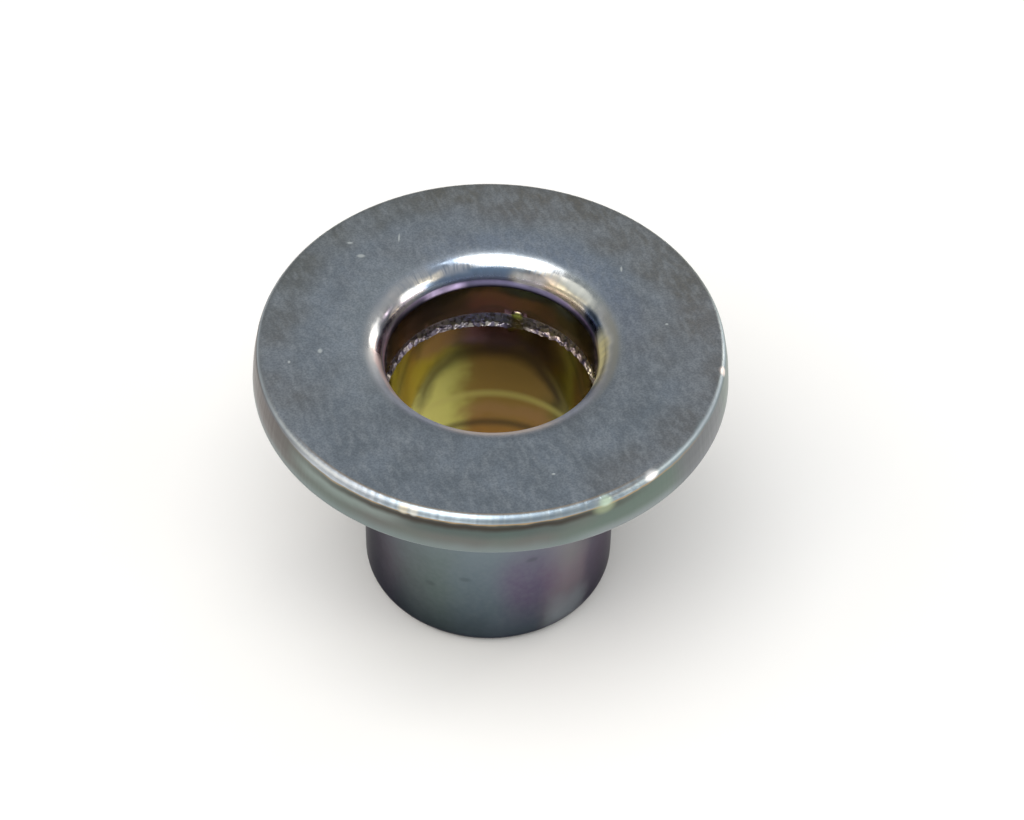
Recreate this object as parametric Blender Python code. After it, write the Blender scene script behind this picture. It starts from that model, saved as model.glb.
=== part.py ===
"""Flanged bushing: a short steel sleeve with a wide flange, cold formed and pierced in one piece.

It stands on the end of its barrel. The origin is the centre of that end face, and +Z runs up the
bore's axis to the flange. Lengths are in metres. Diameters, thicknesses and depths are those of the
sharp corners, which the rounding radii then take off.
"""

import math
import random

import bmesh
import bpy

# Bore, read from the face down: a large radius, a pierced land, a torn band, then the long bore
BORE_DIAMETER = 0.0104
BORE_EXIT_RADIUS = 0.0002
LAND_STEP = 0.00005
LAND_LENGTH = 0.00185
MOUTH_RADIUS = 0.0015

# Barrel
OVERALL_LENGTH = 0.0158
WALL_THICKNESS = 0.00125
NECK_FILLET_RADIUS = 0.0009
END_ROUNDING_RADIUS = 0.0008

# Flange, whose rim leans out from the face to its widest just above the underside
FLANGE_OVERHANG = 0.0053
FLANGE_THICKNESS = 0.0022
RIM_LEAN = 0.0003
RIM_CROWN = 0.00005
RIM_CROWN_RADIUS = 0.003
FACE_EDGE_RADIUS = 0.0004
FOOT_EDGE_RADIUS = 0.0002

# Torn band, where the pierced slug broke away: a shallow groove with a jagged lower lip that sways
# up and down round the bore. A short bridge, where the land ran on without tearing, interrupts it.
UNDERCUT_HEIGHT = 0.0002
TEAR_HEIGHT = 0.00045
TEAR_DEPTH = 0.00012
LIP_HEIGHT = 0.0002
TOOTH_HEIGHT = 0.0001
TOOTH_DEPTH = 0.00004
SWAY_HEIGHT = 0.00012
SWAY_COUNT = 3
SWAY_PHASE = math.radians(23)
TEAR_SEED = 7
BRIDGE_ANGLE = math.radians(74)
BRIDGE_WIDTH = 0.0011

# Facets round the axis, and on each rounded corner
SEGMENTS = 96
MOUTH_STEPS = 9
END_STEPS = 5
NECK_STEPS = 4
EDGE_STEPS = 3
CROWN_STEPS = 2
SMOOTH_LIMIT = math.radians(34)

# Bright zinc plating with a thin blue and yellow passivation film
PLATING_COLOUR = (0.165, 0.185, 0.195, 1.0)
PLATING_ROUGHNESS = 0.34

# Sizes that follow from the ones above
BORE_RADIUS = BORE_DIAMETER / 2
LAND_RADIUS = BORE_RADIUS + LAND_STEP
BARREL_RADIUS = BORE_RADIUS + WALL_THICKNESS
FLANGE_RADIUS = BARREL_RADIUS + FLANGE_OVERHANG


def clear_scene():
    for item in list(bpy.data.objects):
        bpy.data.objects.remove(item, do_unlink=True)


def direction(start, end):
    """Unit vector from one point to another, and the distance between them."""
    length = math.dist(start, end)
    return ((end[0] - start[0]) / length, (end[1] - start[1]) / length), length


def half_angle(back, ahead):
    return 0.5 * math.acos(back[0] * ahead[0] + back[1] * ahead[1])


def arc_at_corner(corner, back, ahead, reach, steps):
    """Points of the arc that leaves one side of a corner at this reach and joins the other."""
    half = half_angle(back, ahead)
    radius = reach * math.tan(half)
    to_centre, _ = direction((0.0, 0.0), (back[0] + ahead[0], back[1] + ahead[1]))
    centre = [corner[i] + to_centre[i] * radius / math.sin(half) for i in (0, 1)]
    start, end = (
        math.atan2(corner[1] + side[1] * reach - centre[1], corner[0] + side[0] * reach - centre[0])
        for side in (back, ahead)
    )
    sweep = (end - start + math.pi) % (2 * math.pi) - math.pi
    angles = [start + sweep * step / steps for step in range(steps + 1)]
    return [(centre[0] + radius * math.cos(a), centre[1] + radius * math.sin(a)) for a in angles]


def rounded_outline(corners):
    """Closed outline through the corners, each one (x, z, radius, steps, name).

    Where two arcs would meet on one side, both are reduced until they fit on it.
    """
    count = len(corners)
    sides = [direction(corners[i][:2], corners[(i + 1) % count][:2]) for i in range(count)]
    ahead = [side[0] for side in sides]
    back = [(-ahead[i - 1][0], -ahead[i - 1][1]) for i in range(count)]
    wanted = [corners[i][2] / math.tan(half_angle(back[i], ahead[i])) for i in range(count)]
    pairs = [wanted[i] + wanted[(i + 1) % count] for i in range(count)]
    room = [min(1.0, 0.98 * sides[i][1] / pairs[i]) if pairs[i] else 1.0 for i in range(count)]

    outline = []
    for i, (x, z, radius, steps, name) in enumerate(corners):
        points = [(x, z)]
        if radius:
            reach = wanted[i] * min(room[i - 1], room[i])
            points = arc_at_corner((x, z), back[i], ahead[i], reach, steps)
        outline += [(point, name) for point in points]
    return outline


def rim_crown():
    """Corner that bows the rim's leaning side outwards at half its height."""
    side = math.hypot(RIM_LEAN, FLANGE_THICKNESS)
    x = FLANGE_RADIUS - RIM_LEAN / 2 + RIM_CROWN * FLANGE_THICKNESS / side
    z = OVERALL_LENGTH - FLANGE_THICKNESS / 2 + RIM_CROWN * RIM_LEAN / side
    return x, z


def section():
    """The bushing's half section, down its outer side and back up the bore."""
    top = OVERALL_LENGTH
    underside = top - FLANGE_THICKNESS
    land_end = top - MOUTH_RADIUS - LAND_LENGTH
    undercut = land_end - UNDERCUT_HEIGHT
    tear_root = undercut - TEAR_HEIGHT
    lip = tear_root - LIP_HEIGHT
    torn = LAND_RADIUS + TEAR_DEPTH
    return rounded_outline([
        (FLANGE_RADIUS - RIM_LEAN, top, FACE_EDGE_RADIUS, EDGE_STEPS, "face edge"),
        (*rim_crown(), RIM_CROWN_RADIUS, CROWN_STEPS, "rim crown"),
        (FLANGE_RADIUS, underside, FOOT_EDGE_RADIUS, EDGE_STEPS, "foot edge"),
        (BARREL_RADIUS, underside, NECK_FILLET_RADIUS, NECK_STEPS, "neck"),
        (BARREL_RADIUS, 0.0, END_ROUNDING_RADIUS, END_STEPS, "barrel end"),
        (BORE_RADIUS, 0.0, BORE_EXIT_RADIUS, EDGE_STEPS, "bore exit"),
        (BORE_RADIUS, lip, 0.0, 0, "lip"),
        (torn, tear_root, 0.0, 0, "tear root"),
        (torn, undercut, 0.0, 0, "undercut"),
        (LAND_RADIUS, land_end, 0.0, 0, "land edge"),
        (LAND_RADIUS, top, MOUTH_RADIUS, MOUTH_STEPS, "mouth"),
    ])


def turn_section(outline):
    """Spin the half section round the axis, and note on each vertex which corner it came from."""
    mesh = bmesh.new()
    corner_layer = mesh.verts.layers.int.new("corner")
    names = sorted({name for _, name in outline})
    ring = []
    for (x, z), name in outline:
        vertex = mesh.verts.new((x, 0.0, z))
        vertex[corner_layer] = names.index(name)
        ring.append(vertex)
    edges = [mesh.edges.new((ring[i], ring[(i + 1) % len(ring)])) for i in range(len(ring))]
    bmesh.ops.spin(mesh, geom=ring + edges, axis=(0, 0, 1), cent=(0, 0, 0), steps=SEGMENTS,
                   angle=2 * math.pi, use_merge=True)
    bmesh.ops.recalc_face_normals(mesh, faces=mesh.faces)
    return mesh, corner_layer, names


def torn_share(angle):
    """How far the groove is torn open at this angle: 0 at the middle of the bridge, 1 clear of it."""
    away = (angle - BRIDGE_ANGLE + math.pi) % (2 * math.pi) - math.pi
    share = abs(away) * 2 * LAND_RADIUS / BRIDGE_WIDTH
    return min(share, 1.0) ** 2


def tear_groove(mesh, corner_layer, names):
    """Break the turned groove into uneven teeth, facet by facet, and close it at the bridge."""
    tears = random.Random(TEAR_SEED)
    rise = [tears.uniform(-1, 1) for _ in range(SEGMENTS)]
    inset = [tears.uniform(-1, 1) for _ in range(SEGMENTS)]
    torn = ("undercut", "tear root", "lip")
    for vertex in mesh.verts:
        name = names[vertex[corner_layer]]
        if name not in torn:
            continue
        angle = math.atan2(vertex.co.y, vertex.co.x)
        place = round(angle / (2 * math.pi) * SEGMENTS) % SEGMENTS
        share = torn_share(angle)
        if name != "lip":
            depth = (TEAR_DEPTH + TOOTH_DEPTH * inset[place]) * share
            radius = LAND_RADIUS + depth
            vertex.co.x = radius * math.cos(angle)
            vertex.co.y = radius * math.sin(angle)
        if name != "undercut":
            sway = math.sin(SWAY_COUNT * angle + SWAY_PHASE)
            vertex.co.z += TOOTH_HEIGHT * rise[place] + SWAY_HEIGHT * sway


def plated_steel():
    material = bpy.data.materials.new("plated_steel")
    material.use_nodes = True
    shader = material.node_tree.nodes["Principled BSDF"]
    shader.inputs["Base Color"].default_value = PLATING_COLOUR
    shader.inputs["Metallic"].default_value = 1.0
    shader.inputs["Roughness"].default_value = PLATING_ROUGHNESS
    return material


def flanged_bushing():
    mesh, corner_layer, names = turn_section(section())
    tear_groove(mesh, corner_layer, names)
    data = bpy.data.meshes.new("flanged_bushing")
    mesh.to_mesh(data)
    mesh.free()
    data.materials.append(plated_steel())
    data.shade_smooth()
    data.set_sharp_from_angle(angle=SMOOTH_LIMIT)
    bushing = bpy.data.objects.new("flanged_bushing", data)
    bpy.context.scene.collection.objects.link(bushing)
    return bushing


clear_scene()
flanged_bushing()
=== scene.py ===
"""Dresses a flanged steel bushing: zinc plating, passivation colours with painted highlights, reflections
and shade, and the torn band in its bore.
"""

import math
from functools import partial

import bmesh
import bpy
from bpy.props import FloatProperty, FloatVectorProperty, IntProperty, PointerProperty
from mathutils import Matrix, Vector


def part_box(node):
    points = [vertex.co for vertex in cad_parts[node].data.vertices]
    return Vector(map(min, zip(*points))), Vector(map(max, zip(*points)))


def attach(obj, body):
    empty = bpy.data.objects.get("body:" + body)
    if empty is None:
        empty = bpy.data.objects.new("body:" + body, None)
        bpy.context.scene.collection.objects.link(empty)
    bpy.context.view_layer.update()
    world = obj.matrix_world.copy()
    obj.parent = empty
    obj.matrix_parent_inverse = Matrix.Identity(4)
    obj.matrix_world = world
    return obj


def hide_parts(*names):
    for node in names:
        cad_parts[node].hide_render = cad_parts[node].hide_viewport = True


bl_info = {
    "name": "Flanged bushing",
    "version": (1, 0, 0),
    "blender": (4, 5, 0),
    "location": "3D View > Sidebar > Bushing",
    "description": "Builds the finish of a cold formed, zinc plated flanged bushing",
    "category": "Object",
}

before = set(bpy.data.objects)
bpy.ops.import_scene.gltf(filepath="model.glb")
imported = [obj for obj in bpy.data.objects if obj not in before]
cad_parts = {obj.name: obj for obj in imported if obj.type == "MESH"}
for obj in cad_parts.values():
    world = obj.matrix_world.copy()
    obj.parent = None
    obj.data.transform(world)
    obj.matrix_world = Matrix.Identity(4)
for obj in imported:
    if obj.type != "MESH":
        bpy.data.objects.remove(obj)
NODE = "flanged_bushing"
LOW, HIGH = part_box(NODE)
OVERALL_LENGTH = HIGH[2] - LOW[2]
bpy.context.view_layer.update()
MM = 0.001

# Height of the face and depth of the mouth's rounding, in millimetres
TOP = OVERALL_LENGTH / MM
MOUTH_DEPTH = 1.5

# Smallest turn at a real corner. The torn lip has some this blunt, and the rounded edges have none
SHARP_ANGLE = math.radians(24)

# Zones of the turned surface, each with its own finish
FACE, EDGE, SEAT, BARREL, BORE, TEAR, LAND, MOUTH = range(8)

# Sockets of the Mix node when it mixes colours: the two colours and the result
UNDER, OVER, MIXED = 6, 7, 2

# Setting of the Map Range node for a mask without a visible edge
SMOOTH = {"interpolation_type": "SMOOTHSTEP"}


def linear(hex_colour):
    """An sRGB hex colour as linear red, green, blue and alpha."""
    parts = [int(hex_colour[i : i + 2], 16) / 255 for i in (0, 2, 4)]
    return [c / 12.92 if c <= 0.04045 else ((c + 0.055) / 1.055) ** 2.4 for c in parts] + [1.0]


def tint(shade):
    """A hex colour turned to a linear one, while a linear colour or a node's colour stays as it is."""
    return linear(shade) if isinstance(shade, str) else shade


def length(name, millimetres, description):
    return FloatProperty(name=name, default=millimetres * MM, min=0.0, precision=5,
                         unit="LENGTH", description=description)


def turn(name, degrees, description):
    return FloatProperty(name=name, default=math.radians(degrees), subtype="ANGLE",
                         description=description)


def colour(name, hex_colour, description):
    return FloatVectorProperty(name=name, default=linear(hex_colour), size=4, min=0.0, max=1.0,
                               subtype="COLOR", description=description)


class BushingSizes(bpy.types.PropertyGroup):
    bore_radius: length("Bore radius", 5.2, "Radius of the long polished bore")
    bore_exit: length("Bore exit radius", 0.2, "Rounding where the bore leaves the barrel")
    land_step: length("Land step", 0.05, "How much wider the pierced land is than the bore")
    land_length: length("Land length", 1.85, "Length of the pierced land below the mouth")
    mouth_radius: length("Mouth radius", 1.5, "Rounding from the face into the bore")
    wall: length("Wall", 1.25, "Thickness of the barrel's wall")
    neck_fillet: length("Neck fillet", 0.9, "Fillet under the flange")
    end_rounding: length("End rounding", 0.8, "Rounding of the barrel's outer end")
    flange_overhang: length("Flange overhang", 5.3, "How far the flange reaches past the barrel")
    flange_thickness: length("Flange thickness", 2.2, "Height of the flange")
    rim_lean: length("Rim lean", 0.3, "How far the rim leans out from face to underside")
    rim_crown: length("Rim crown", 0.05, "How far the rim's side bows out")
    crown_radius: length("Crown radius", 3.0, "Rounding of the rim's bowed side")
    face_edge: length("Face edge radius", 0.4, "Rounding from the face into the rim")
    foot_edge: length("Foot edge radius", 0.2, "Rounding from the rim into the underside")
    undercut: length("Undercut height", 0.2, "Height of the step back under the land")
    tear_height: length("Tear height", 0.45, "Height of the torn wall")
    tear_depth: length("Tear depth", 0.12, "Depth of the torn groove")
    lip_height: length("Lip height", 0.2, "Height of the broken lower lip")
    tooth_height: length("Tooth height", 0.11, "Rise and fall of the broken teeth")
    tooth_pitch: length("Tooth pitch", 0.34, "Distance from one broken tooth to the next")
    sway_height: length("Sway height", 0.12, "Slow rise and fall of the torn band")
    sway_count: IntProperty(name="Sways", default=3, description="Waves of the torn band round the bore")
    sway_phase: turn("Sway phase", 23, "Where the waves of the torn band start")
    bridge_angle: turn("Bridge angle", 76, "Where the land ran on without tearing")
    bridge_width: length("Bridge width", 1.1, "Width of the untorn bridge")
    widest_span: length("Widest span", 0.45, "Longest side of a facet on a straight run")
    segments: IntProperty(name="Segments", default=512, min=48, max=1024,
                          description="Facets round the axis")
    tear_seed: IntProperty(name="Tear seed", default=7, description="Picks the pattern of teeth")


class BushingFinish(bpy.types.PropertyGroup):
    zinc_blue: colour("Zinc blue", "8e98a2", "Blue grey of the satin zinc")
    zinc_brown: colour("Zinc brown", "86837e", "Warmer grey where the film is thicker")
    zinc_bright: colour("Zinc bright", "b4bcc3", "Rubbed, brighter zinc")
    # The burnished edge's silver, painted bright as the edge's highlight too
    edge_silver_highlight: colour("Edge silver", "a9b8c1", "Burnished edge of the face")
    edge_gold: colour("Edge gold", "b39a78", "Thin straw coloured line beside the burnished edge")
    rim_green: colour("Rim green", "68766f", "Grey green film on the rim")
    rim_mauve: colour("Rim mauve", "6f6566", "Brownish mauve film on the rim")
    barrel_grey: colour("Barrel grey", "626e6f", "Grey green film on the barrel")
    # Painted shade that darkens the barrel towards its end
    barrel_low_shade: colour("Barrel slate", "333d44", "Slate film towards the barrel's end")
    barrel_mauve: colour("Barrel mauve", "665c70", "Mauve film on the barrel")
    mouth_silver: colour("Mouth silver", "c9ccce", "Polished upper part of the mouth")
    mouth_blue: colour("Mouth blue", "7c95b2", "Blue film lower in the mouth")
    mouth_gold: colour("Mouth gold", "f4e8c6", "Pale gold film in the mouth")
    mouth_purple: colour("Mouth purple", "a893c4", "Purple line at the mouth's foot")
    land_brown: colour("Land brown", "92709a", "Reddish brown film on the land")
    bore_gold: colour("Bore gold", "c4c168", "Olive gold film in the bore")
    bore_amber: colour("Bore amber", "a97e4c", "Amber film in the bore")
    tear_cream: colour("Tear cream", "b8b4ac", "Bare broken teeth")
    tear_blue: colour("Tear blue", "a8aae2", "Shaded torn wall")


class StageSettings(bpy.types.PropertyGroup):
    floor: colour("Floor", "f4f4f3", "Pale plain floor")
    lens: FloatProperty(name="Lens", default=97.53, unit="CAMERA",
                        description="Focal length on a 36 mm sensor")
    pitch: turn("Pitch", 47.262, "How far the camera looks down")
    roll: turn("Roll", 1.357, "Turn of the camera about its own axis")
    distance: length("Distance", 139.17, "From the camera to the aim point")
    aim_x: length("Aim right", 1.09, "Aim point right of the bushing's axis")
    aim_below_face: length("Aim below face", 4.96, "Aim point below the flange's face")


def add_node(tree, kind, inputs=(), **settings):
    """Add a node with its settings, and link or set its inputs, in order or by name or number."""
    node = tree.nodes.new(kind)
    for name, value in settings.items():
        setattr(node, name, value)
    named = inputs if isinstance(inputs, dict) else dict(enumerate(inputs))
    for socket, value in named.items():
        if isinstance(value, bpy.types.Node):
            value = value.outputs[0]
        if isinstance(value, bpy.types.NodeSocket):
            tree.links.new(value, node.inputs[socket])
        else:
            node.inputs[socket].default_value = value
    return node


def set_stops(ramp, stops):
    """Give a colour ramp its stops in rising order, each a place from 0 to 1 and a colour."""
    while len(ramp.elements) < len(stops):
        ramp.elements.new(1.0)
    for element, (position, shade) in zip(ramp.elements, stops):
        element.position = position
        element.color = tint(shade)


# Section of the bushing


def direction(start, end):
    """Unit vector from one point to another, and the distance between them."""
    distance = math.dist(start, end)
    return ((end[0] - start[0]) / distance, (end[1] - start[1]) / distance), distance


def half_angle(back, ahead):
    return 0.5 * math.acos(back[0] * ahead[0] + back[1] * ahead[1])


def arc_at_corner(corner, back, ahead, reach, steps):
    """Points of the arc that leaves one side of a corner at this reach and joins the other."""
    half = half_angle(back, ahead)
    radius = reach * math.tan(half)
    to_centre, _ = direction((0.0, 0.0), (back[0] + ahead[0], back[1] + ahead[1]))
    centre = [corner[i] + to_centre[i] * radius / math.sin(half) for i in (0, 1)]
    start, end = (
        math.atan2(corner[1] + side[1] * reach - centre[1], corner[0] + side[0] * reach - centre[0])
        for side in (back, ahead)
    )
    sweep = (end - start + math.pi) % (2 * math.pi) - math.pi
    angles = [start + sweep * step / steps for step in range(steps + 1)]
    return [(centre[0] + radius * math.cos(a), centre[1] + radius * math.sin(a)) for a in angles]


def land_end(sizes):
    """Height at which the land stops and the torn band starts."""
    return OVERALL_LENGTH - sizes.mouth_radius - sizes.land_length


def band_height(sizes):
    return sizes.undercut + sizes.tear_height + sizes.lip_height


def section_corners(sizes):
    """Sharp corners of the half section: x, z, radius, steps, zone of the arc and of the run after."""
    top = OVERALL_LENGTH
    underside = top - sizes.flange_thickness
    bore = sizes.bore_radius
    land = bore + sizes.land_step
    barrel = bore + sizes.wall
    flange = barrel + sizes.flange_overhang
    side = math.hypot(sizes.rim_lean, sizes.flange_thickness)
    crown_x = flange - sizes.rim_lean / 2 + sizes.rim_crown * sizes.flange_thickness / side
    crown_z = top - sizes.flange_thickness / 2 + sizes.rim_crown * sizes.rim_lean / side
    return [
        (flange - sizes.rim_lean, top, sizes.face_edge, 10, EDGE, EDGE),
        (crown_x, crown_z, sizes.crown_radius, 4, EDGE, EDGE),
        (flange, underside, sizes.foot_edge, 6, EDGE, SEAT),
        (barrel, underside, sizes.neck_fillet, 10, BARREL, BARREL),
        (barrel, 0.0, sizes.end_rounding, 12, BARREL, BARREL),
        (bore, 0.0, sizes.bore_exit, 6, BORE, BORE),
        (bore, land_end(sizes) - band_height(sizes), 0.0, 0, BORE, TEAR),
        (land, land_end(sizes), 0.0, 0, LAND, LAND),
        (land, top, sizes.mouth_radius, 24, MOUTH, FACE),
    ]


def section_outline(sizes):
    """Closed outline of the half section, as x, z and zone, down the outside and up the bore."""
    corners = section_corners(sizes)
    count = len(corners)
    outline = []
    for i, (x, z, radius, steps, zone, after) in enumerate(corners):
        ahead, _ = direction((x, z), corners[(i + 1) % count][:2])
        back, _ = direction((x, z), corners[i - 1][:2])
        points = [(x, z)]
        if radius:
            reach = radius / math.tan(half_angle(back, ahead))
            points = arc_at_corner((x, z), back, ahead, reach, steps)
        outline += [[point, zone] for point in points]
        outline[-1][1] = after

    filled = []
    for i, (point, zone) in enumerate(outline):
        target = outline[(i + 1) % len(outline)][0]
        span = sizes.lip_height / 4 if zone == TEAR else sizes.widest_span
        pieces = max(1, math.ceil(math.dist(point, target) / span))
        for step in range(pieces):
            share = step / pieces
            filled.append((point[0] + (target[0] - point[0]) * share,
                           point[1] + (target[1] - point[1]) * share, zone))
    return filled


def section_mesh(sizes):
    """The outline's points, each with its zone and with what the torn band does there."""
    outline = section_outline(sizes)
    mesh = bpy.data.meshes.new("bushing_section")
    mesh.from_pydata([(x, 0.0, z) for x, z, _ in outline], [], [])
    names = ("zone", "groove", "torn", "depth")
    for name in names:
        mesh.attributes.new(name, "FLOAT", "POINT")
    zone, groove, torn, depth = (mesh.attributes[name].data for name in names)
    height = band_height(sizes)
    # The teeth start a fifth of the way down the band and are full size after half of it more
    teeth_start, teeth_growth, slack = 0.2, 0.5, 0.001
    for i, (x, z, which) in enumerate(outline):
        zone[i].value = which
        share = (land_end(sizes) - z) / height
        depth[i].value = share
        beside_bore = x < sizes.bore_radius * 1.1
        if beside_bore and -slack < share < 1 + slack:
            opening = min(1.0, share * height / sizes.undercut)
            closing = min(1.0, (1.0 - share) * height / sizes.lip_height)
            groove[i].value = min(opening, closing)
            torn[i].value = max(0.0, min(1.0, (share - teeth_start) / teeth_growth))
    return mesh


# Nodes that turn the section


def turning_tree(finishes):
    """Turn a section round the axis, break the torn band into teeth, and give each zone its finish."""
    tree = bpy.data.node_groups.new("turned_bushing", "GeometryNodeTree")
    tree.is_modifier = True
    add = partial(add_node, tree)
    sockets = {"Section": "Geometry", "Segments": "Int", "Land Radius": "Float", "Tear Depth": "Float",
               "Tooth Height": "Float", "Tooth Pitch": "Float", "Sway Height": "Float",
               "Sway Count": "Int", "Sway Phase": "Float", "Bridge Angle": "Float",
               "Bridge Width": "Float", "Tear Seed": "Int"}
    for name, kind in sockets.items():
        tree.interface.new_socket(name=name, in_out="INPUT", socket_type="NodeSocket" + kind)
    tree.interface.new_socket(name="Bushing", in_out="OUTPUT", socket_type="NodeSocketGeometry")
    given = add("NodeGroupInput").outputs
    maths = "ShaderNodeMath"

    # A flat grid, one row for each point of the section and one column for each facet
    counted = add("GeometryNodeAttributeDomainSize", [given["Section"]])
    rows = counted.outputs["Point Count"]
    columns = given["Segments"]
    more_rows = add(maths, [rows, 1.0], operation="ADD")
    more_columns = add(maths, [columns, 1.0], operation="ADD")
    grid = add("GeometryNodeMeshGrid", [rows, columns, more_rows, more_columns])
    where = add("ShaderNodeSeparateXYZ", [add("GeometryNodeInputPosition")])
    row = add(maths, [rows, 0.5, where.outputs["X"]], operation="MULTIPLY_ADD")
    column = add(maths, [columns, 0.5, where.outputs["Y"]], operation="MULTIPLY_ADD")
    part = add(maths, [column, columns], operation="DIVIDE")
    angle = add(maths, [part, 2 * math.pi], operation="MULTIPLY")
    whole_row = add(maths, [row], operation="ROUND")
    point_row = add(maths, [whole_row, rows], operation="MODULO")
    strip_row = add(maths, [row], operation="FLOOR")

    def carried(name, index):
        """What the section's points carry under this name, read at a row."""
        value = add("GeometryNodeInputNamedAttribute", {"Name": name}, data_type="FLOAT")
        return add("GeometryNodeSampleIndex",
                   {"Geometry": given["Section"], "Value": value.outputs["Attribute"], "Index": index},
                   data_type="FLOAT", domain="POINT")

    place = add("GeometryNodeSampleIndex",
                {"Geometry": given["Section"], "Value": add("GeometryNodeInputPosition"),
                 "Index": point_row}, data_type="FLOAT_VECTOR", domain="POINT")
    point = add("ShaderNodeSeparateXYZ", [place])
    cosine = add(maths, [angle], operation="COSINE")
    sine = add(maths, [angle], operation="SINE")

    # How far the groove is open at this angle: shut at the middle of the bridge
    apart = add(maths, [angle, given["Bridge Angle"]], operation="SUBTRACT")
    turned_back = add(maths, [apart, math.pi, -math.pi], operation="WRAP")
    away = add(maths, [turned_back], operation="ABSOLUTE")
    along = add(maths, [away, given["Land Radius"]], operation="MULTIPLY")
    half_bridge = add(maths, [given["Bridge Width"], 0.5], operation="MULTIPLY")
    reach = add(maths, [along, half_bridge], operation="DIVIDE")
    within = add(maths, [reach, 1.0], operation="MINIMUM")
    share = add(maths, [within, 2.0], operation="POWER")

    # Chips and finer splinters that follow the angle, from noise read on a circle that each seed moves
    seed_step, splinters_per_chip, noise_middle, noise_swing, depth_swing = 3.7, 1.8, 0.95, 2.0, 0.9
    seeded = add(maths, [given["Tear Seed"], seed_step], operation="MULTIPLY")
    circle = add("ShaderNodeCombineXYZ", [cosine, sine, seeded])
    per_radius = add(maths, [given["Land Radius"], given["Tooth Pitch"]], operation="DIVIDE")
    fine_scale = add(maths, [per_radius, splinters_per_chip], operation="MULTIPLY")
    chips = add("ShaderNodeTexVoronoi", {"Vector": circle, "Scale": per_radius})
    splinters = add("ShaderNodeTexNoise", {"Vector": circle, "Scale": fine_scale, "Detail": 2.0})
    both = add(maths, [chips.outputs["Distance"], splinters], operation="ADD")
    rough = add(maths, [both, noise_middle], operation="SUBTRACT")
    waves = add(maths, [angle, given["Sway Count"], given["Sway Phase"]], operation="MULTIPLY_ADD")
    wave = add(maths, [waves], operation="SINE")
    sway = add(maths, [wave, given["Sway Height"]], operation="MULTIPLY")
    jag = add(maths, [given["Tooth Height"], noise_swing], operation="MULTIPLY")
    rise = add(maths, [rough, jag, sway], operation="MULTIPLY_ADD")
    height = add(maths, [carried("torn", point_row), rise, point.outputs["Z"]], operation="MULTIPLY_ADD")
    uneven = add(maths, [rough, depth_swing, 1.0], operation="MULTIPLY_ADD")
    depth = add(maths, [given["Tear Depth"], uneven], operation="MULTIPLY")
    open_depth = add(maths, [depth, share], operation="MULTIPLY")
    radius = add(maths, [carried("groove", point_row), open_depth, point.outputs["X"]],
                 operation="MULTIPLY_ADD")
    turned = add("ShaderNodeCombineXYZ", [
        add(maths, [radius, cosine], operation="MULTIPLY"),
        add(maths, [radius, sine], operation="MULTIPLY"), height])

    # The finish of each face, and how deep in the torn band and how open it is at each point
    stored = grid
    for name, value, domain in (("finish", carried("zone", strip_row), "FACE"),
                                ("tear_share", carried("depth", point_row), "POINT"),
                                ("tear_open", share, "POINT")):
        stored = add("GeometryNodeStoreNamedAttribute", {"Geometry": stored, "Name": name, "Value": value},
                     data_type="FLOAT", domain=domain)
    moved = add("GeometryNodeSetPosition", {"Geometry": stored, "Position": turned})
    seam = 0.002 * MM
    closed = add("GeometryNodeMergeByDistance", {"Geometry": moved, "Distance": seam})
    smooth = add("GeometryNodeSetShadeSmooth", {"Geometry": closed})
    last = add("GeometryNodeRealizeInstances", {"Geometry": smooth})
    zone = add("GeometryNodeInputNamedAttribute", {"Name": "finish"}, data_type="FLOAT")
    for number, material in finishes.items():
        chosen = add("FunctionNodeCompare",
                     {"A": zone.outputs["Attribute"], "B": float(number), "Epsilon": 0.1},
                     data_type="FLOAT", operation="EQUAL")
        last = add("GeometryNodeSetMaterial",
                   {"Geometry": last, "Selection": chosen, "Material": material})
    add("NodeGroupOutput", {"Bushing": last})
    return tree


def set_input(modifier, name, value):
    """Set a modifier's input by the identifier of the socket that has this name."""
    for item in modifier.node_group.interface.items_tree:
        if item.item_type == "SOCKET" and item.in_out == "INPUT" and item.name == name:
            modifier[item.identifier] = value
            return
    raise RuntimeError("no input named " + name)


# Parts that the finishes share


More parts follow.
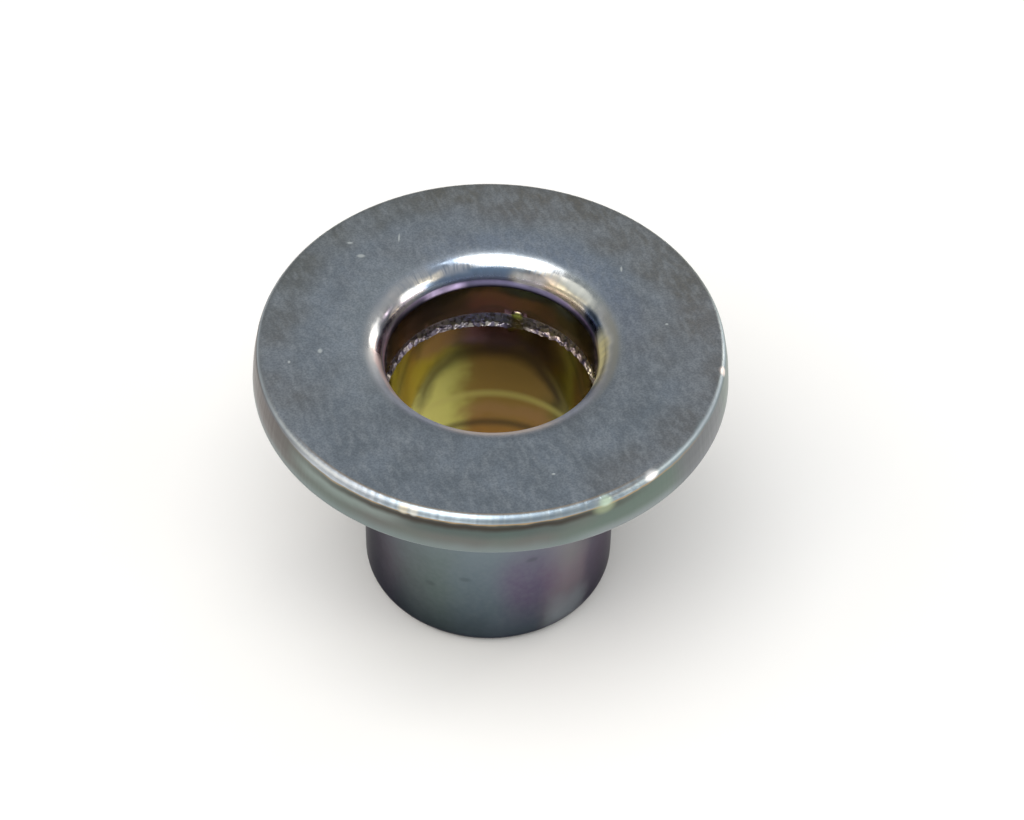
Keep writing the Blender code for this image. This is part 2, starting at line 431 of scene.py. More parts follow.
class Surface:
    """A bare metal material, with the places on the bushing in millimetres that its films follow."""

    def __init__(self, name, roughness, drift=0.3, level=0.0):
        self.level = level
        self.material = bpy.data.materials.new(name)
        self.material.use_nodes = True
        self.tree = self.material.node_tree
        self.add = partial(add_node, self.tree)
        self.shader = self.tree.nodes["Principled BSDF"]
        self.shader.inputs["Metallic"].default_value = 1.0
        self.shader.inputs["Roughness"].default_value = roughness
        corner = self.add("ShaderNodeTexCoord").outputs["Object"]
        self.point = self.add("ShaderNodeVectorMath", {0: corner, 3: 1 / MM}, operation="SCALE")
        self.height = self.add("ShaderNodeSeparateXYZ", [self.point]).outputs["Z"]
        # Films end unevenly, so their places drift by a part of a millimetre. The factor of 4 makes
        # up for the noise, which strays by only about a quarter from its middle
        swirl = self.add("ShaderNodeTexNoise", {"Vector": self.point, "Scale": 0.7, "Detail": 2.0})
        offset = self.add("ShaderNodeVectorMath", [swirl.outputs["Color"], (0.5, 0.5, 0.5)],
                          operation="SUBTRACT")
        pushed = self.add("ShaderNodeVectorMath", {0: offset, 3: drift * 4}, operation="SCALE")
        drifted = self.add("ShaderNodeVectorMath", [self.point, pushed], operation="ADD")
        self.drifted_height = self.add("ShaderNodeSeparateXYZ", [drifted]).outputs["Z"]
        flat = self.add("ShaderNodeVectorMath", [drifted, (1.0, 1.0, 0.0)], operation="MULTIPLY")
        self.around = self.add("ShaderNodeVectorMath", [flat], operation="NORMALIZE")
        self.radius = self.add("ShaderNodeVectorMath", [flat], operation="LENGTH").outputs["Value"]

    def clouds(self, size, low, high, detail=2.0, stretch=(1.0, 1.0, 1.0), degrees=0.0):
        """Mask of soft clouds about this many millimetres across, stretched along turned axes."""
        turned = self.add("ShaderNodeVectorRotate",
                          {"Vector": self.point, "Angle": math.radians(degrees)}, rotation_type="Z_AXIS")
        place = self.add("ShaderNodeVectorMath", [turned, stretch], operation="MULTIPLY")
        noise = self.add("ShaderNodeTexNoise", {"Vector": place, "Scale": 0.5 / size, "Detail": detail})
        return self.add("ShaderNodeMapRange", [noise, low, high])

    def streaks(self, scale, detail, low, high, least=0.0, most=1.0):
        """Mask of fine streaks down the surface, from noise that follows the angle alone."""
        noise = self.add("ShaderNodeTexNoise", {"Vector": self.around, "Scale": scale, "Detail": detail})
        return self.add("ShaderNodeMapRange", [noise, low, high, least, most])

    def sector(self, degrees, reach):
        """Mask that is 1 about this angle, and fades from a third of the reach to all of it."""
        a = math.radians(degrees)
        facing = self.add("ShaderNodeVectorMath", [self.around, (math.cos(a), math.sin(a), 0.0)],
                          operation="DOT_PRODUCT")
        edge, full = (math.cos(math.radians(reach * part)) for part in (1.0, 0.35))
        return self.add("ShaderNodeMapRange", [facing.outputs["Value"], edge, full], **SMOOTH)

    def spot(self, centre, half_sizes):
        """Mask of a soft oval spot in millimetres: 1 at its centre and 0 a third past its half sizes."""
        apart = self.add("ShaderNodeVectorMath", [self.point, centre], operation="SUBTRACT")
        scaled = self.add("ShaderNodeVectorMath", [apart, [1 / half for half in half_sizes]],
                          operation="MULTIPLY")
        away = self.add("ShaderNodeVectorMath", [scaled], operation="LENGTH").outputs["Value"]
        return self.add("ShaderNodeMapRange", [away, 1.3, 0.4], **SMOOTH)

    def band(self, value, low, high, fade):
        """Mask that is 1 where a value lies between two limits and fades out past them."""
        apart = self.add("ShaderNodeMath", [value, (low + high) / 2], operation="SUBTRACT")
        away = self.add("ShaderNodeMath", [apart], operation="ABSOLUTE")
        half = (high - low) / 2
        return self.add("ShaderNodeMapRange", [away, half + fade, max(half - fade, 0.0)], **SMOOTH)

    def layer(self, low, high, fade, steady=False):
        """Mask between two heights from the material's level, which drift unless it is steady."""
        height = self.height if steady else self.drifted_height
        return self.band(height, self.level + low, self.level + high, fade)

    def film(self, under, over, amount, *masks):
        """A colour laid over another by this amount where all the masks are 1."""
        for mask in masks:
            amount = self.add("ShaderNodeMath", [mask, amount], operation="MULTIPLY")
        mixed = self.add("ShaderNodeMix", {0: amount, UNDER: tint(under), OVER: tint(over)},
                         data_type="RGBA")
        return mixed.outputs[MIXED]

    def films(self, base, rows):
        """Films one over another: colour, amount, angle and reach round the axis or None, and layers."""
        for shade, amount, around, *layers in rows:
            masks = [self.sector(*around)] if around else []
            masks += [self.layer(*heights) for heights in layers]
            base = self.film(base, shade, amount, *masks)
        return base

    def finish_with(self, base, roughness=None, bump=None, relief=0.0):
        """Link the colour and roughness, and a height pattern whose relief is in millimetres."""
        self.tree.links.new(base, self.shader.inputs["Base Color"])
        if roughness is not None:
            self.tree.links.new(roughness, self.shader.inputs["Roughness"])
        if bump is not None:
            raised = self.add("ShaderNodeBump", {"Height": bump, "Distance": relief * MM})
            self.tree.links.new(raised.outputs[0], self.shader.inputs["Normal"])
        return self.material


# Small dents on the face, where the plating is knocked bright: x, y, width and length in millimetres
NICKS = [
    (-6.68, 5.71, 0.22, 0.13), (-8.31, -0.98, 0.12, 0.16), (-4.83, 7.08, 0.05, 0.32),
    (-7.29, 6.63, 0.16, 0.08), (-9.76, -1.77, 0.07, 0.1), (3.1, -8.6, 0.1, 0.06),
    (6.4, 5.2, 0.06, 0.2), (8.6, 1.4, 0.09, 0.07),
]


def satin_colour(zinc, finish):
    """Colour of the satin zinc and the pattern of its flecks, for the face, its edge and the mouth."""
    brown = zinc.clouds(3.2, 0.46, 0.66, 3.0)
    base = zinc.film(finish.zinc_blue, finish.zinc_brown, 0.55, brown)
    away = zinc.band(zinc.radius, 8.8, 14.0, 1.1)
    base = zinc.film(base, finish.zinc_brown, 0.75, zinc.sector(55.0, 65.0), away)
    # Painted shade: the front half of the face darker
    base = zinc.film(base, "7a848d", 0.6, zinc.sector(-80.0, 95.0))
    # A browner ring near the rim, fainter on the right, and bluer and paler zinc beside the mouth
    outer, back_right, beside_mouth = (
        zinc.band(zinc.radius, low, high, fade)
        for low, high, fade in ((9.7, 12.0, 0.9), (9.0, 12.0, 1.2), (6.0, 7.7, 0.7)))
    for shade, amount, degrees, reach, ring in (
            ("77766b", 0.6, 125.0, 70.0, outer), ("84807a", 0.5, -24.0, 48.0, outer),
            ("77766b", 0.45, 46.0, 34.0, back_right), ("8c9bb2", 0.5, 60.0, 80.0, beside_mouth),
            ("a2acb4", 0.5, 172.0, 60.0, beside_mouth)):
        base = zinc.film(base, shade, amount, zinc.sector(degrees, reach), ring)
    mottle = zinc.clouds(0.9, 0.4, 0.68, 2.0)
    base = zinc.film(base, "aab6c4", 0.3, mottle)
    # Flecks 0.15 mm wide and 0.35 mm long that run with the sheet's rolling, 67 degrees from X
    flecks = zinc.clouds(0.15, 0.42, 0.8, 1.0, (1.0, 0.42, 1.0), -23.0)
    base = zinc.film(base, finish.zinc_bright, 0.44, flecks)
    grain = zinc.clouds(0.045, 0.35, 0.65, 1.0)
    return zinc.film(base, "565e66", 0.36, grain), flecks


def satin_zinc(finish):
    """Zinc plated on a pressed face: blue grey and cloudy, with short flecks that run one way."""
    zinc = Surface("satin_zinc_plate", 0.36)
    base, flecks = satin_colour(zinc, finish)
    marks = 0.0
    for x, y, width, long in NICKS:
        mark = zinc.spot((x, y, TOP), (width, long, 1.0))
        marks = zinc.add("ShaderNodeMath", [mark, marks], operation="MAXIMUM")
    base = zinc.film(base, "d8e0e0", 0.8, marks)
    relief = zinc.add("ShaderNodeMath", [marks, -2.0, flecks], operation="MULTIPLY_ADD")
    return zinc.finish_with(base, bump=relief, relief=0.004)


def burnished_edge(finish):
    """Flange's edge, burnished in the die: a silver band on top that is partly painted highlight, grey
    green and mauve films below, a painted dark reflection under the band, painted light along the foot and
    painted glints.
    """
    rim = Surface("burnished_zinc_rim", 0.3, drift=0.08, level=TOP)
    base = rim.film(finish.rim_green, finish.rim_mauve, 0.5, rim.clouds(4.0, 0.48, 0.6))
    foot = (-2.4, -1.8, 0.45)
    base = rim.films(base, [
        ("5a504e", 0.9, (182.0, 50.0)),
        ("8f9c98", 0.65, (-126.0, 20.0), (-1.1, -0.5, 0.3)),
        ("4c5e5c", 0.6, (-90.0, 24.0), (-1.15, -0.5, 0.3)),
        # A paler foot: painted light along the lower edge, brightest at the front right
        ("7f8b8c", 0.8, None, foot),
        ("989ca0", 0.5, (-54.0, 18.0), foot),
        ("706c76", 0.6, (-27.0, 16.0)),
        # A painted dark reflection in a line under the front of the band
        ("3b322c", 0.8, (-95.0, 50.0), (-0.72, -0.42, 0.16)),
        (finish.edge_gold, 0.8, (-85.0, 65.0), (-0.4, 0.2, 0.04))])
    satin, _ = satin_colour(rim, finish)
    base = rim.film(base, satin, 1.0, rim.layer(-0.08, 0.2, 0.08, steady=True))
    # Beads about 0.35 mm apart where the die's edge rubbed
    beads = rim.streaks(34.0, 1.0, 0.4, 0.6)
    # The silver is painted lighter and darker round the edge, following its highlight
    silver = rim.films(finish.edge_silver_highlight, [
        ("c0c6ce", 0.85, (-130.0, 24.0)), ("747478", 0.8, (-160.0, 26.0)), ("cfdde6", 0.6, (-100.0, 14.0)),
        ("8c979e", 0.7, (-74.0, 22.0)), ("727c7e", 0.75, (-26.0, 30.0))])
    silver = rim.film(silver, "8494a2", 0.6, beads, rim.sector(-80.0, 60.0))
    # The burnished band, painted bright as the edge's highlight too, is widest at the front and ends on
    # both sides of the back
    front = rim.sector(-95.0, 55.0)
    silver_highlight_band = rim.layer(-0.3, -0.08, 0.05)
    base = rim.film(base, silver, 1.0, silver_highlight_band, rim.sector(-80.0, 112.0))
    base = rim.film(base, finish.edge_gold, 0.7, rim.layer(-0.02, 0.0, 0.01, steady=True), front)
    base = rim.film(base, silver, 1.0, rim.layer(-0.33, -0.01, 0.012, steady=True), front)
    # Past its ends the painted highlight thins out to a pale line
    line = (-0.17, -0.06, 0.05, True)
    base = rim.films(base, [("b0bcc4", 0.7, (-170.0, 48.0), line), ("b4c2cc", 0.7, (-16.0, 42.0), line)])
    # A painted yellow-green glint on the edge at the front right
    base = rim.film(base, "aab696", 0.6, rim.spot((5.5, -10.1, TOP - 0.5), (0.6, 0.6, 0.35)))
    # Painted glints on the edge: angle, half size, depth below the face and colour
    edge_radius = 11.4
    for degrees, size, down, shade in (
            (-109.5, 0.3, 0.2, "dcd6c4"), (-107.0, 0.26, 0.2, "e4e4dc"), (-61.0, 0.36, 0.22, "c2d6c4"),
            (-47.6, 0.42, 0.16, "ffffff"), (-8.0, 0.3, 0.14, "ece2de")):
        a = math.radians(degrees)
        centre = (edge_radius * math.cos(a), edge_radius * math.sin(a), TOP - down)
        base = rim.film(base, shade, 1.0, rim.spot(centre, (size, size, down + 0.04)))
    rough = rim.add("ShaderNodeMapRange", [silver_highlight_band, 0.0, 1.0, 0.34, 0.46])
    return rim.finish_with(base, rough.outputs[0], beads, 0.005)


def drawn_barrel(finish):
    """Barrel drawn through a die: smooth, with a thin film that runs from grey green to mauve, painted
    lighter at the top and darker towards the end as shade, with a painted reflection streak.
    """
    barrel = Surface("drawn_zinc_barrel", 0.28)
    base = barrel.film(finish.barrel_grey, finish.barrel_mauve, 0.8, barrel.clouds(3.5, 0.48, 0.62))
    # Tints round the barrel, and a pale streak at the front right that is a painted reflection
    base = barrel.films(base, [
        ("665c64", 0.7, (-136.0, 24.0)), ("616e6b", 0.75, (-110.0, 32.0)),
        ("616e79", 0.75, (-82.0, 30.0)), ("7a707c", 0.7, (-22.0, 26.0)), ("a99a9d", 0.5, (-51.0, 17.0))])
    # Purple patch on the front right, 5 mm across and 8 mm high
    base = barrel.film(base, "62506c", 0.7, barrel.spot((2.3, -6.0, 5.0), (1.8, 1.8, 3.6)))
    # Painted light: lighter towards the top
    base = barrel.film(base, "828e94", 0.6, barrel.layer(6.6, 14.0, 3.2))
    speckle = barrel.clouds(0.16, 0.35, 0.7, 2.0)
    base = barrel.film(base, "7f888c", 0.16, speckle)
    # Darker down the left edge; painted shade towards the end and on the lower left; a pale patch low on
    # the front right
    base = barrel.films(base, [
        ("232526", 0.8, (-186.0, 48.0)),
        (finish.barrel_low_shade, 0.9, None, (-4.0, 1.6, 3.6)),
        ("98a3a8", 0.5, (-50.0, 14.0), (0.3, 2.4, 0.9)),
        ("14181a", 0.5, (-135.0, 60.0), (-4.0, 1.0, 2.6))])
    # Three shallow pits under the film
    for centre in ((-1.07, -6.36, 5.1), (-2.83, -5.8, 4.1), (2.26, -6.04, 6.4)):
        base = barrel.film(base, "39423f", 0.28, barrel.spot(centre, (0.34, 0.34, 0.17)))
    # The film keeps the glancing reflections dim
    barrel.shader.inputs["Specular Tint"].default_value = linear("b9b5bb")
    return barrel.finish_with(base, bump=speckle, relief=0.001)


def mouth_films_and_reflections(mouth, finish, depth):
    """Films of the mouth from its pale arc down to the lilac band at its foot, with painted highlights and
    dark reflections among them.
    """
    # Film colours by depth down the mouth, where the blue band under the silver and the dark foot are
    # partly painted dark reflection
    bands = mouth.add("ShaderNodeValToRGB", [depth])
    set_stops(bands.color_ramp, [
        (0.0, "98a2aa"), (0.14, finish.mouth_silver), (0.26, finish.mouth_silver),
        (0.36, finish.mouth_blue), (0.6, "8696b2"), (0.7, "7a7f9c"), (0.75, finish.mouth_purple),
        (0.8, "6f5f86"), (0.87, "3a3342"), (1.0, "3a3342")])
    # The pale arc at the back with its left end painted dimmer, a painted highlight on its right, the gold
    # smear with a painted white highlight in it, the navy spot, which is a painted dark reflection, and
    # the straw strip
    gold = (-1.1, -0.6, 0.16)
    bands = mouth.films(bands, [
        ("b4bcca", 0.8, (113.0, 12.0), (-0.62, -0.12, 0.12)),
        ("8c98a8", 0.6, (134.0, 34.0), (-0.2, 0.0, 0.1)),
        ("e8ecee", 0.85, (52.0, 30.0), (-0.3, -0.1, 0.08)),
        ("8c908a", 0.9, (52.0, 32.0), (-0.62, -0.34, 0.08)),
        (finish.mouth_gold, 0.9, (56.0, 29.0), gold),
        ("fae8c6", 0.9, (56.0, 29.0), (-1.0, -0.76, 0.09)),
        ("ffffff", 0.85, (70.0, 11.0), gold),
        ("c4a4a8", 0.25, (64.0, 12.0), (-0.9, -0.45, 0.2)),
        ("98a0a2", 0.9, (40.0, 17.0), (-0.45, 0.0, 0.1)),
        ("2c3645", 0.9, (22.5, 12.0), (-1.0, -0.47, 0.1)),
        ("ecdfa0", 0.9, (-6.0, 26.0), (-1.25, -0.4, 0.2)),
        ("e8dcd6", 0.6, (165.0, 38.0), (-1.1, -0.3, 0.25))])
    # A painted pale glow of highlight, in patches, on the left
    glow_patches = mouth.clouds(0.6, 0.25, 0.6, 3.0)
    bands = mouth.film(bands, "b2b8be", 0.9, mouth.sector(150.0, 50.0),
                       mouth.layer(-0.62, -0.14, 0.14), glow_patches)
    # Painted highlights on the left side with dark gaps between them, and the dimmed left end of the white
    # highlight
    bands = mouth.films(bands, [
        ("70707a", 0.8, (162.0, 11.0), (-0.9, -0.4, 0.15)),
        ("fff8ea", 0.9, (125.0, 10.0), (-0.58, -0.34, 0.08)),
        ("ece0ee", 0.8, (138.0, 12.0), (-0.88, -0.66, 0.08)),
        ("f2e8e4", 0.9, (153.5, 5.5), (-0.85, -0.6, 0.08)),
        ("aea4a6", 0.8, (181.0, 8.0), (-0.5, -0.32, 0.08)),
        ("f2cccc", 0.8, (193.0, 13.0), (-0.8, -0.5, 0.08)),
        ("dcc8d8", 0.8, (172.0, 13.0), (-1.08, -0.82, 0.08)),
        ("8c9aac", 0.85, (116.0, 10.0), (-0.28, -0.06, 0.08))])
    lilac = (-1.42, -1.06, 0.08, True)
    worn = mouth.clouds(0.5, 0.42, 0.62, 2.0, (1.0, 1.0, 0.3))
    # The lilac band at the foot, darker at the back, with a painted highlight on it at the back left
    bands = mouth.films(bands, [
        ("625f78", 0.9, (86.0, 60.0), lilac), ("dccaf2", 0.9, (118.0, 15.0), lilac)])
    bands = mouth.film(bands, "4a4a5c", 0.6, mouth.layer(*lilac), worn)
    return mouth.films(bands, [
        ("35333e", 0.8, (144.0, 18.0), lilac), ("d9b8c8", 0.7, (188.0, 30.0), lilac),
        ("8a897c", 0.7, (-8.0, 44.0), (-0.3, 0.0, 0.12))])


def polished_mouth(finish):
    """Mouth ironed smooth by the punch: satin at its brim, then silver, blue, gold and purple films, with
    painted highlights and dark reflections among them.
    """
    mouth = Surface("polished_zinc_mouth", 0.1, drift=0.1, level=TOP)
    satin, flecks = satin_colour(mouth, finish)
    depth = mouth.add("ShaderNodeMapRange", [mouth.height, TOP, TOP - MOUTH_DEPTH])
    bands = mouth_films_and_reflections(mouth, finish, depth)
    # Fine scratches down the radius, drawn by the punch
    bands = mouth.film(bands, "5d6874", 0.4, mouth.streaks(17.0, 3.0, 0.4, 0.75),
                       mouth.layer(-0.85, -0.4, 0.2))
    bands = mouth.film(bands, "7c8ca0", 0.6, mouth.streaks(55.0, 2.0, 0.48, 0.62),
                       mouth.sector(98.0, 55.0), mouth.layer(-0.52, -0.17, 0.1))
    # Satin to the brim all round, and right down to where the front turns out of sight
    brim = mouth.add("ShaderNodeMapRange", [mouth.height, TOP - 0.15, TOP - 0.004], **SMOOTH)
    front = mouth.add("ShaderNodeMath", [mouth.layer(-0.8, 0.2, 0.15), mouth.sector(-90.0, 85.0)],
                      operation="MULTIPLY")
    plain = mouth.add("ShaderNodeMath", [brim, front], operation="MAXIMUM")
    base = mouth.film(bands, satin, 1.0, plain)
    # Painted highlights along the limbs: a pale sheen across the front, warm in its middle, and a pale
    # pink one on the left
    limb = mouth.layer(-0.9, -0.12, 0.1, steady=True)
    base = mouth.film(base, "c8cadc", 0.4, front, limb)
    base = mouth.film(base, "ead8c4", 0.55, mouth.sector(-84.0, 34.0), limb)
    base = mouth.films(base, [("f0dcd8", 0.8, (198.0, 28.0), (-0.9, -0.42, 0.1))])
    # Polished in the middle, rougher towards the land, at both sides and where it is satin
    polish = mouth.streaks(17.0, 3.0, 0.35, 0.7, 0.12, 0.28)
    foot = mouth.add("ShaderNodeMapRange", [depth, 0.5, 0.75, polish, 0.5])
    sides = mouth.add("ShaderNodeMath", [mouth.sector(-6.0, 34.0), mouth.sector(197.0, 18.0)],
                      operation="MAXIMUM")
    softer = mouth.add("ShaderNodeMapRange", [sides, 0.0, 1.0, 0.0, 0.4])
    foot = mouth.add("ShaderNodeMath", [foot, softer], operation="MAXIMUM")
    satin_rough = mouth.add("ShaderNodeMapRange", [limb, 0.0, 1.0, 0.36, 0.65])
    rough = mouth.add("ShaderNodeMapRange", [plain, 0.0, 1.0, foot, satin_rough])
    # A narrow ledge above the land, which leans back enough for its lilac film to catch the light
    ledge, shelf = (mouth.add("ShaderNodeMapRange", [mouth.height, TOP - high, TOP - low], **SMOOTH)
                    for low, high in ((1.46, 1.02), (1.15, 0.55)))
    leaning = mouth.add("ShaderNodeMath", [ledge, mouth.sector(90.0, 72.0)], operation="MULTIPLY")
    beside = mouth.add("ShaderNodeMath", [shelf, mouth.sector(-6.0, 26.0)], operation="MULTIPLY")
    both = mouth.add("ShaderNodeMath", [beside, 1.25, leaning], operation="MULTIPLY_ADD")
    flecked = mouth.add("ShaderNodeMath", [brim, flecks], operation="MULTIPLY")
    relief = mouth.add("ShaderNodeMath", [flecked, 0.025, both], operation="MULTIPLY_ADD")
    return mouth.finish_with(base, rough.outputs[0], relief, 0.21)


def painted_reflection_arch(bore):
    """Mask of a painted dark reflection: an arch that droops to both sides of the bore's back."""
    back = math.radians(92.0)
    height, half_width, droop, widening = 9.75, 0.15, 36.0, 4.0
    facing = bore.add("ShaderNodeVectorMath", [bore.around, (math.cos(back), math.sin(back), 0.0)],
                      operation="DOT_PRODUCT")
    aside = bore.add("ShaderNodeMath", [1.0, facing.outputs["Value"]], operation="SUBTRACT")
    squared = bore.add("ShaderNodeMath", [aside, 2.0], operation="POWER")
    drooped = bore.add("ShaderNodeMath", [squared, droop, bore.height], operation="MULTIPLY_ADD")
    steep = bore.add("ShaderNodeMath", [aside, widening, 1.0], operation="MULTIPLY_ADD")
    apart = bore.add("ShaderNodeMath", [drooped, height], operation="SUBTRACT")
    return bore.band(bore.add("ShaderNodeMath", [apart, steep], operation="DIVIDE"),
                     -half_width, half_width, 0.8)


def gold_bore(finish):
    """Bore polished by the extruding punch, under a thicker film that turns it olive gold and amber, with
    a painted dark reflection arch, painted shade high up at the back and a painted bright ring.
    """
    bore = Surface("passivated_gold_bore", 0.14, drift=0.4)
    base = bore.film(finish.bore_gold, finish.bore_amber, 0.7, bore.clouds(3.0, 0.48, 0.62))
    # The three deep ones are paler on the right and browner on the left, which the wall above mirrors
    deep = (-3.0, 3.0, 0.8)
    base = bore.films(base, [
        (finish.bore_amber, 0.8, (76.0, 44.0)),
        ("f4f090", 1.0, (141.0, 42.0)),
        ("e0f488", 0.8, (158.0, 20.0), (7.0, 14.0, 1.5)),
        ("98a850", 0.95, (184.0, 22.0)),
        ("7a7240", 0.85, (25.0, 38.0)),
        ("c49870", 0.5, (80.0, 35.0), (4.7, 5.9, 0.5)),
        ("747a44", 0.9, (0.0, 20.0)),
        ("a0b04c", 0.8, (-90.0, 100.0)),
        ("b98a4c", 0.8, (85.0, 40.0), (0.0, 3.6, 0.5)),
        # Painted shade high up on the back wall, above the arch
        ("765f74", 0.8, (80.0, 46.0), (9.9, 12.5, 0.7)),
        ("dcb8d4", 0.8, (118.0, 28.0), (10.4, 13.0, 0.6)),
        ("d4be74", 0.9, (18.0, 64.0), deep),
        ("7c6238", 0.8, (168.0, 54.0), deep),
        ("a87c70", 0.9, (-90.0, 62.0), deep)])
    # A painted dark reflection in the shape of an arch on the back wall
    base = bore.film(base, "3c3028", 0.7, painted_reflection_arch(bore), bore.layer(6.6, 14.0, 1.4))
    # Two rings: a bright one, a painted reflection of the light that falls through the bore onto the
    # floor, and a dull one
    base = bore.films(base, [
        ("ece48c", 0.6, (85.0, 75.0), (6.4, 6.6, 0.35, True)),
        ("5f523e", 0.7, None, (4.15, 4.4, 0.35, True))])
    return bore.finish_with(base)


def brown_land(finish):
    """Land sheared bright by the piercing punch, under a reddish brown film, with a painted warm
    highlight, a painted reflection along its lower edge and a painted glint.
    """
    land = Surface("passivated_brown_land", 0.22)
    base = land.film(finish.land_brown, "6c6066", 0.7, land.clouds(2.5, 0.48, 0.62))
    # Tints round the land; the pink one at the back is a painted warm highlight
    base = land.films(base, [
        ("5f5850", 0.8, (34.0, 30.0)), ("756488", 0.9, (145.0, 48.0)), ("cc94ac", 0.8, (80.0, 32.0))])
    base = land.film(base, "a08e88", 0.2, land.streaks(26.0, 2.0, 0.5, 0.85))
    top = (TOP - 1.9, TOP - 1.3, 0.35)
    base = land.films(base, [
        ("564c62", 0.8, None, top), ("7078b0", 0.8, (58.0, 36.0), top),
        # A pale strip along the land's lower edge, a painted reflection
        ("907c94", 0.6, None, (12.2, 12.85, 0.1))])
    # A painted glint just above the bridge, on a low bump
    glint_fleck = land.spot((1.27, 5.09, 12.5), (0.25, 0.3, 0.18))
    base = land.film(base, "d2d48c", 1.0, glint_fleck)
    rough = land.add("ShaderNodeMapRange", [glint_fleck, 0.0, 1.0, 0.22, 0.5])
    return land.finish_with(base, rough.outputs[0], glint_fleck, 0.14)


def torn_steel(finish):
    """Steel torn as the slug broke away: cream grey on the broken teeth, blue grey in the groove."""
    tear = Surface("torn_plated_steel", 0.34, drift=0.1)
    share, opened = (tear.add("ShaderNodeAttribute", attribute_name=name).outputs["Fac"]
                     for name in ("tear_share", "tear_open"))
    base = tear.add("ShaderNodeValToRGB", [share])
    set_stops(base.color_ramp, [
        (0.0, "c4b4d0"), (0.12, "b8acd0"), (0.2, finish.tear_blue), (0.66, finish.tear_blue),
        (0.78, finish.tear_cream), (1.0, finish.tear_cream)])
    base = tear.films(base, [("f0dcd0", 0.65, (44.0, 34.0)), ("e8dce4", 0.5, (138.0, 38.0))])
    chips = tear.clouds(0.13, 0.42, 0.58, 2.0)
    base = tear.film(base, "76708a", 0.85, chips)
    base = tear.film(base, "f1e8cc", 0.9, tear.sector(18.0, 9.0))
    closed = tear.add("ShaderNodeMath", [1.0, opened], operation="SUBTRACT")
    base = tear.film(base, "84744f", 0.9, closed)
    # The same painted glint where it reaches the top of the torn band
    head = tear.add("ShaderNodeMapRange", [share, 0.35, 0.1])
    base = tear.film(base, "f2ff9a", 1.0, tear.sector(76.0, 3.6), head)
    return tear.finish_with(base, bump=chips, relief=0.03)


class BUSHING_OT_body(bpy.types.Operator):
    """Turn the bushing's section and give each zone its plated finish"""

    bl_idname = "bushing.body"
    bl_label = "Bushing body"

    def execute(self, context):
        sizes = context.scene.bushing_sizes
        finish = context.scene.bushing_finish
        zinc = satin_zinc(finish)
        finishes = {FACE: zinc, EDGE: burnished_edge(finish), SEAT: zinc, BARREL: drawn_barrel(finish),
                    BORE: gold_bore(finish), TEAR: torn_steel(finish), LAND: brown_land(finish),
                    MOUTH: polished_mouth(finish)}
        source = bpy.data.objects.new("section_source", section_mesh(sizes))
        context.scene.collection.objects.link(source)
        modifier = source.modifiers.new("turn", "NODES")
        modifier.node_group = turning_tree(finishes)
        set_input(modifier, "Land Radius", sizes.bore_radius + sizes.land_step)
        for name in ("segments", "tear_depth", "tooth_height", "tooth_pitch", "sway_height",
                     "sway_count", "sway_phase", "bridge_angle", "bridge_width", "tear_seed"):
            set_input(modifier, name.replace("_", " ").title(), getattr(sizes, name))
        evaluated = source.evaluated_get(context.evaluated_depsgraph_get())
        mesh = bpy.data.meshes.new_from_object(evaluated)
        bpy.data.objects.remove(source)
        if not mesh.polygons:
            raise RuntimeError("the section wasn't turned")
        tidy_normals(mesh)
        bushing = bpy.data.objects.new("plated_bushing", mesh)
        context.scene.collection.objects.link(bushing)
        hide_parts(NODE)
        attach(bushing, "root")
        return {"FINISHED"}


def tidy_normals(mesh):
    """Point the closed mesh's faces outwards and keep only its real corners sharp."""
    work = bmesh.new()
    work.from_mesh(mesh)
    bmesh.ops.recalc_face_normals(work, faces=work.faces)
    work.to_mesh(mesh)
    work.free()
    mesh.set_sharp_from_angle(angle=SHARP_ANGLE)


# Stage

# Soft lamps: name, azimuth and elevation in degrees, distance, width and height in metres, radiance
# and colour. Azimuth 0 is towards +X and 90 towards +Y.
LAMPS = [
    ("overhead_softbox", -108.0, 70.0, 0.5, 0.42, 0.46, 2.8, "ffffff"),
    ("left_fill", 193.0, 36.0, 0.5, 0.42, 0.36, 1.25, "fff2e0"),
    ("right_window", -15.0, 18.0, 0.5, 0.26, 0.2, 3.2, "fff8ea"),
    ("middle_window", 19.0, 14.0, 0.5, 0.05, 0.07, 3.0, "ffe9f2"),
    ("rear_window", 41.0, 13.0, 0.5, 0.14, 0.2, 3.6, "fff6ea"),
]


def lay_floor(context, stage):
    half = 1.5
    z = -0.02 * MM
    floor = bpy.data.meshes.new("floor")
    floor.from_pydata([(-half, -half, z), (half, -half, z), (half, half, z), (-half, half, z)], [],
                      [(0, 1, 2, 3)])
    material = bpy.data.materials.new("matt_paper_floor")
    material.use_nodes = True
    shader = material.node_tree.nodes["Principled BSDF"]
    shader.inputs["Base Color"].default_value = stage.floor
    shader.inputs["Roughness"].default_value = 0.9
    floor.materials.append(material)
    item = bpy.data.objects.new("floor", floor)
    context.scene.collection.objects.link(item)


def hang_lamp(context, name, azimuth, elevation, distance, width, height, radiance, shade):
    """Hang a rectangular soft lamp that faces the bushing, as bright per area as its radiance says."""
    light = bpy.data.lights.new(name, "AREA")
    light.shape = "RECTANGLE"
    light.size, light.size_y = width, height
    light.energy = radiance * math.pi * width * height
    light.color = linear(shade)[:3]
    a, e = math.radians(azimuth), math.radians(elevation)
    away = Vector((math.cos(a) * math.cos(e), math.sin(a) * math.cos(e), math.sin(e)))
    lamp = bpy.data.objects.new(name, light)
    centre = Vector((0.0, 0.0, OVERALL_LENGTH))
    facing = away.to_track_quat("Z", "Y").to_matrix().to_4x4()
    lamp.matrix_world = Matrix.Translation(centre + away * distance) @ facing
    lamp.visible_camera = False
    context.scene.collection.objects.link(lamp)


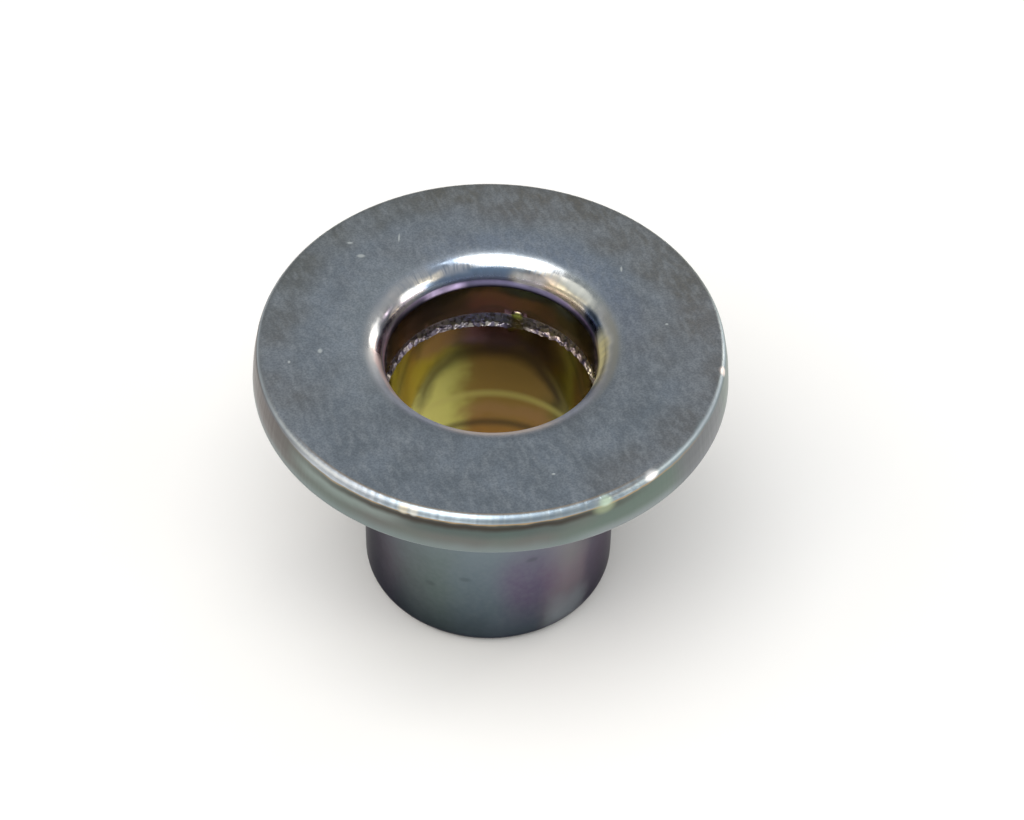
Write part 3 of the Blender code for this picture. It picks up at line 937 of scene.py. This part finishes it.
def light_world(context):
    """A plain grey room that is darker at the horizon than overhead."""
    world = bpy.data.worlds.new("soft_room")
    world.use_nodes = True
    context.scene.world = world
    tree = world.node_tree
    add = partial(add_node, tree)
    up = add("ShaderNodeSeparateXYZ", [add("ShaderNodeTexCoord").outputs["Generated"]])
    at_horizon, overhead = 0.36, 0.56
    strength = add("ShaderNodeMapRange", [up.outputs["Z"], 0.0, 0.7, at_horizon, overhead])
    background = tree.nodes["Background"]
    background.inputs["Color"].default_value = linear("ffffff")
    tree.links.new(strength.outputs[0], background.inputs["Strength"])


def set_camera(context, stage):
    camera = bpy.data.cameras.new("camera")
    camera.lens = stage.lens
    camera.sensor_width = 36.0
    camera.sensor_fit = "HORIZONTAL"
    camera.clip_start, camera.clip_end = 0.005, 10.0
    aim = Vector((stage.aim_x, 0.0, OVERALL_LENGTH - stage.aim_below_face))
    tilt = Matrix.Rotation(math.pi / 2 - stage.pitch, 4, "X") @ Matrix.Rotation(stage.roll, 4, "Z")
    back = tilt @ Vector((0.0, 0.0, 1.0))
    item = bpy.data.objects.new("camera", camera)
    item.matrix_world = Matrix.Translation(aim + back * stage.distance) @ tilt
    context.scene.collection.objects.link(item)
    context.scene.camera = item
    context.scene.view_settings.view_transform = "Standard"


class BUSHING_OT_stage(bpy.types.Operator):
    """Lay the pale floor, hang the soft lamps and set the camera"""

    bl_idname = "bushing.stage"
    bl_label = "Stage"

    def execute(self, context):
        stage = context.scene.bushing_stage
        lay_floor(context, stage)
        for lamp in LAMPS:
            hang_lamp(context, *lamp)
        light_world(context)
        set_camera(context, stage)
        return {"FINISHED"}


class BUSHING_PT_panel(bpy.types.Panel):
    bl_label = "Flanged bushing"
    bl_idname = "BUSHING_PT_panel"
    bl_space_type = "VIEW_3D"
    bl_region_type = "UI"
    bl_category = "Bushing"

    def draw(self, context):
        layout = self.layout
        for operator in (BUSHING_OT_stage, BUSHING_OT_body):
            layout.operator(operator.bl_idname)
        for group in (context.scene.bushing_sizes, context.scene.bushing_finish,
                      context.scene.bushing_stage):
            box = layout.box()
            for name in group.bl_rna.properties.keys():
                if name not in ("rna_type", "name"):
                    box.prop(group, name)


CLASSES = (BushingSizes, BushingFinish, StageSettings, BUSHING_OT_stage, BUSHING_OT_body,
           BUSHING_PT_panel)


def register():
    for item in CLASSES:
        bpy.utils.register_class(item)
    bpy.types.Scene.bushing_sizes = PointerProperty(type=BushingSizes)
    bpy.types.Scene.bushing_finish = PointerProperty(type=BushingFinish)
    bpy.types.Scene.bushing_stage = PointerProperty(type=StageSettings)


def unregister():
    del bpy.types.Scene.bushing_sizes
    del bpy.types.Scene.bushing_finish
    del bpy.types.Scene.bushing_stage
    for item in reversed(CLASSES):
        bpy.utils.unregister_class(item)


def main():
    register()
    bpy.ops.bushing.stage()
    bpy.ops.bushing.body()


if __name__ == "__main__":
    main()
